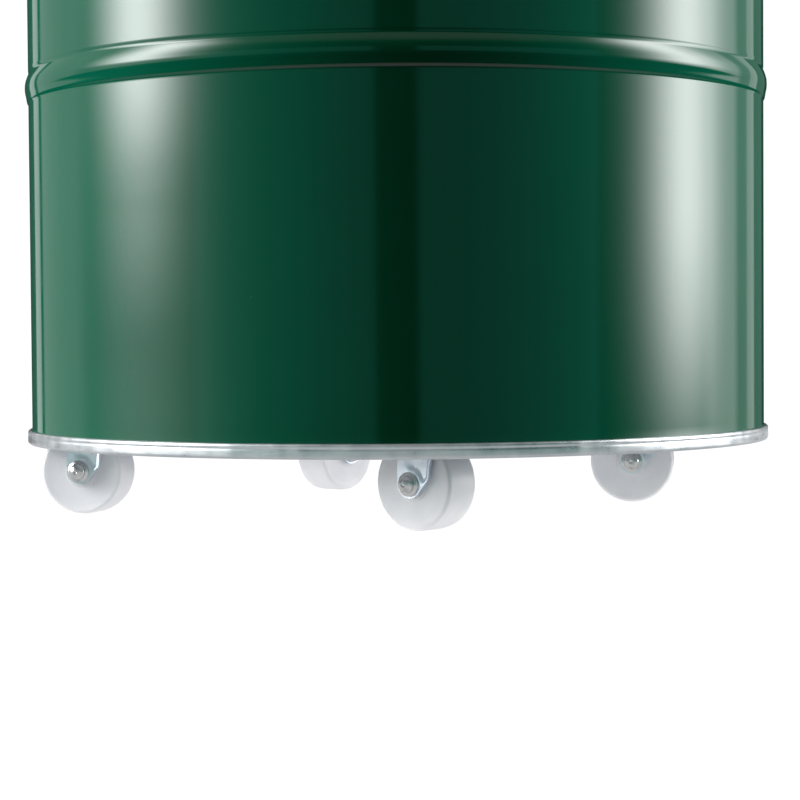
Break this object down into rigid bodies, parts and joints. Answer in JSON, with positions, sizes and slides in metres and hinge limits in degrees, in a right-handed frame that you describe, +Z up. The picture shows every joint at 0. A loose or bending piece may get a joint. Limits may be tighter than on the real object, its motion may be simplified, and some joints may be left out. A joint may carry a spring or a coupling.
{
  "type": "lidded steel bin on casters",
  "caption": "Upright round painted steel bin with swaged beads, a seamed galvanised foot, a lift-off lid, drop handles and swivel casters.",
  "frame": {"origin": "on the floor, on the bin's upright axis", "axes": "+Z up; +X towards the side handle called right; +Y towards the back, where the body's upright seam runs"},
  "size_m": [0.3626, 0.3616, 0.5789],
  "materials": {
    "green_paint": "gloss",
    "galvanised_sheet": "bright galvanised, lightly streaked",
    "zinc_plate": "bright zinc plate",
    "bright_steel": "polished",
    "white_nylon": "satin, slightly translucent"
  },
  "bodies": {
    "bin": {"body_shell": "green_paint", "bottom_pan": "galvanised_sheet", "caster_front_kingpin": "bright_steel", "caster_front_plate": "zinc_plate", "caster_front_rivet_1": "bright_steel", "caster_front_rivet_2": "bright_steel", "caster_front_rivet_3": "bright_steel", "caster_front_rivet_4": "bright_steel", "caster_left_kingpin": "bright_steel", "caster_left_plate": "zinc_plate", "caster_left_rivet_1": "bright_steel", "caster_left_rivet_2": "bright_steel", "caster_left_rivet_3": "bright_steel", "caster_left_rivet_4": "bright_steel", "caster_rear_kingpin": "bright_steel", "caster_rear_plate": "zinc_plate", "caster_rear_rivet_1": "bright_steel", "caster_rear_rivet_2": "bright_steel", "caster_rear_rivet_3": "bright_steel", "caster_rear_rivet_4": "bright_steel", "caster_right_kingpin": "bright_steel", "caster_right_plate": "zinc_plate", "caster_right_rivet_1": "bright_steel", "caster_right_rivet_2": "bright_steel", "caster_right_rivet_3": "bright_steel", "caster_right_rivet_4": "bright_steel", "handle_left_bracket": "zinc_plate", "handle_left_rivet_1": "bright_steel", "handle_left_rivet_2": "bright_steel", "handle_right_bracket": "zinc_plate", "handle_right_rivet_1": "bright_steel", "handle_right_rivet_2": "bright_steel", "rim_wire": "bright_steel"},
    "swivel_right": {"caster_right_fork": "zinc_plate", "caster_right_axle": "bright_steel", "caster_right_sleeve": "bright_steel"},
    "balls_right": {"caster_right_ball_ring": "bright_steel"},
    "roller_right": {"caster_right_wheel": "white_nylon"},
    "swivel_rear": {"caster_rear_fork": "zinc_plate", "caster_rear_axle": "bright_steel", "caster_rear_sleeve": "bright_steel"},
    "balls_rear": {"caster_rear_ball_ring": "bright_steel"},
    "roller_rear": {"caster_rear_wheel": "white_nylon"},
    "swivel_left": {"caster_left_fork": "zinc_plate", "caster_left_axle": "bright_steel", "caster_left_sleeve": "bright_steel"},
    "balls_left": {"caster_left_ball_ring": "bright_steel"},
    "roller_left": {"caster_left_wheel": "white_nylon"},
    "swivel_front": {"caster_front_fork": "zinc_plate", "caster_front_axle": "bright_steel", "caster_front_sleeve": "bright_steel"},
    "balls_front": {"caster_front_ball_ring": "bright_steel"},
    "roller_front": {"caster_front_wheel": "white_nylon"},
    "handle_right": {"handle_right_rod": "zinc_plate"},
    "handle_left": {"handle_left_rod": "zinc_plate"},
    "lid": {"lid_grip": "zinc_plate", "lid_rivet_1": "bright_steel", "lid_rivet_2": "bright_steel", "lid_shell": "green_paint"}
  },
  "joints": [
    {"name": "swivel_right_turn", "type": "hinge", "parent": "bin", "child": "swivel_right", "pos_m": [0.12983, 0.02383, 0.0438], "axis": [0, 0, 1], "continuous": true},
    {"name": "balls_right_turn", "type": "hinge", "parent": "bin", "child": "balls_right", "pos_m": [0.12983, 0.02383, 0.0459], "axis": [0, 0, 1], "continuous": true},
    {"name": "wheel_right_roll", "type": "hinge", "parent": "swivel_right", "child": "roller_right", "pos_m": [0.1144, 0.02613, 0.02], "axis": [-0.1478, -0.989, 0], "continuous": true},
    {"name": "swivel_rear_turn", "type": "hinge", "parent": "bin", "child": "swivel_rear", "pos_m": [-0.02383, 0.12983, 0.0438], "axis": [0, 0, 1], "continuous": true},
    {"name": "balls_rear_turn", "type": "hinge", "parent": "bin", "child": "balls_rear", "pos_m": [-0.02383, 0.12983, 0.0459], "axis": [0, 0, 1], "continuous": true},
    {"name": "wheel_rear_roll", "type": "hinge", "parent": "swivel_rear", "child": "roller_rear", "pos_m": [-0.03373, 0.11778, 0.02], "axis": [0.7727, -0.6347, 0], "continuous": true},
    {"name": "swivel_left_turn", "type": "hinge", "parent": "bin", "child": "swivel_left", "pos_m": [-0.12983, -0.02383, 0.0438], "axis": [0, 0, 1], "continuous": true},
    {"name": "balls_left_turn", "type": "hinge", "parent": "bin", "child": "balls_left", "pos_m": [-0.12983, -0.02383, 0.0459], "axis": [0, 0, 1], "continuous": true},
    {"name": "wheel_left_roll", "type": "hinge", "parent": "swivel_left", "child": "roller_left", "pos_m": [-0.14489, -0.01974, 0.02], "axis": [-0.2622, -0.965, 0], "continuous": true},
    {"name": "swivel_front_turn", "type": "hinge", "parent": "bin", "child": "swivel_front", "pos_m": [0.02383, -0.12983, 0.0438], "axis": [0, 0, 1], "continuous": true},
    {"name": "balls_front_turn", "type": "hinge", "parent": "bin", "child": "balls_front", "pos_m": [0.02383, -0.12983, 0.0459], "axis": [0, 0, 1], "continuous": true},
    {"name": "wheel_front_roll", "type": "hinge", "parent": "swivel_front", "child": "roller_front", "pos_m": [0.01162, -0.12012, 0.02], "axis": [-0.6225, -0.7826, 0], "continuous": true},
    {"name": "handle_right_swing", "type": "hinge", "parent": "bin", "child": "handle_right", "pos_m": [0.1768, 0, 0.444], "axis": [0, -1, 0], "range_deg": [0, 180]},
    {"name": "handle_left_swing", "type": "hinge", "parent": "bin", "child": "handle_left", "pos_m": [-0.1768, 0, 0.444], "axis": [0, 1, 0], "range_deg": [0, 180]},
    {"name": "lid_lift", "type": "slide", "parent": "bin", "child": "lid", "axis": [0, 0, 1], "range_m": [0, 0.25]}
  ],
  "couplings": [
    {"joint": "balls_right_turn", "follows": "swivel_right_turn", "ratio": 0.5},
    {"joint": "balls_rear_turn", "follows": "swivel_rear_turn", "ratio": 0.5},
    {"joint": "balls_left_turn", "follows": "swivel_left_turn", "ratio": 0.5},
    {"joint": "balls_front_turn", "follows": "swivel_front_turn", "ratio": 0.5}
  ]
}
